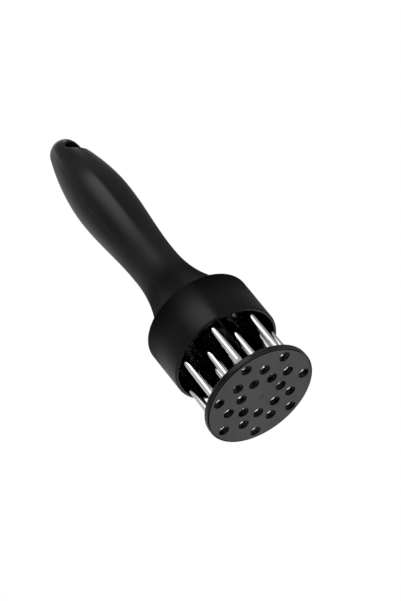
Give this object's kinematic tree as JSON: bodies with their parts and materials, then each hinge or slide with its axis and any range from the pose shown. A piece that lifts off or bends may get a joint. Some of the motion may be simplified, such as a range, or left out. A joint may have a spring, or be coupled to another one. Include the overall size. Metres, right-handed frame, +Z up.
{
  "type": "blade meat tenderizer",
  "caption": "Hand-held blade meat tenderizer: steel needles in a black cup under an oval handle, with a sprung guard disc that slides up the needles.",
  "frame": {"origin": "centre of the guard disc's working face, on the plane that the tool stands on", "axes": "+Z up the handle; +X along the hanging hole, square to the handle's parting plane"},
  "size_m": [0.0516, 0.0516, 0.192],
  "materials": {
    "handle_black": "satin black moulded plastic",
    "housing_black": "glossy black moulded plastic",
    "guard_black": "semi-gloss black moulded plastic",
    "inner_plastic": "plain black moulded plastic",
    "needle_steel": "polished stainless steel",
    "screw_steel": "zinc-plated steel",
    "spring_steel": "drawn spring wire"
  },
  "bodies": {
    "handle_assembly": {"handle_front_shell": "handle_black", "handle_rear_shell": "handle_black", "needle_housing": "housing_black", "needle_carrier": "inner_plastic", "needle_inner_1": "needle_steel", "needle_inner_2": "needle_steel", "needle_inner_3": "needle_steel", "needle_inner_4": "needle_steel", "needle_inner_5": "needle_steel", "needle_inner_6": "needle_steel", "needle_inner_7": "needle_steel", "needle_middle_1": "needle_steel", "needle_middle_2": "needle_steel", "needle_middle_3": "needle_steel", "needle_middle_4": "needle_steel", "needle_middle_5": "needle_steel", "needle_middle_6": "needle_steel", "needle_middle_7": "needle_steel", "needle_outer_1": "needle_steel", "needle_outer_2": "needle_steel", "needle_outer_3": "needle_steel", "needle_outer_4": "needle_steel", "needle_outer_5": "needle_steel", "needle_outer_6": "needle_steel", "needle_outer_7": "needle_steel", "housing_screws": "screw_steel", "return_spring": "spring_steel"},
    "guard": {"guard_disc": "guard_black", "spring_seat": "inner_plastic", "stem_screw": "screw_steel"}
  },
  "joints": [
    {"name": "guard_slide", "type": "slide", "parent": "handle_assembly", "child": "guard", "axis": [0, 0, 1], "range_m": [0, 0.0242], "stiffness_N_per_m": 640, "springref_m": -0.008, "deforming": ["return_spring"]}
  ]
}
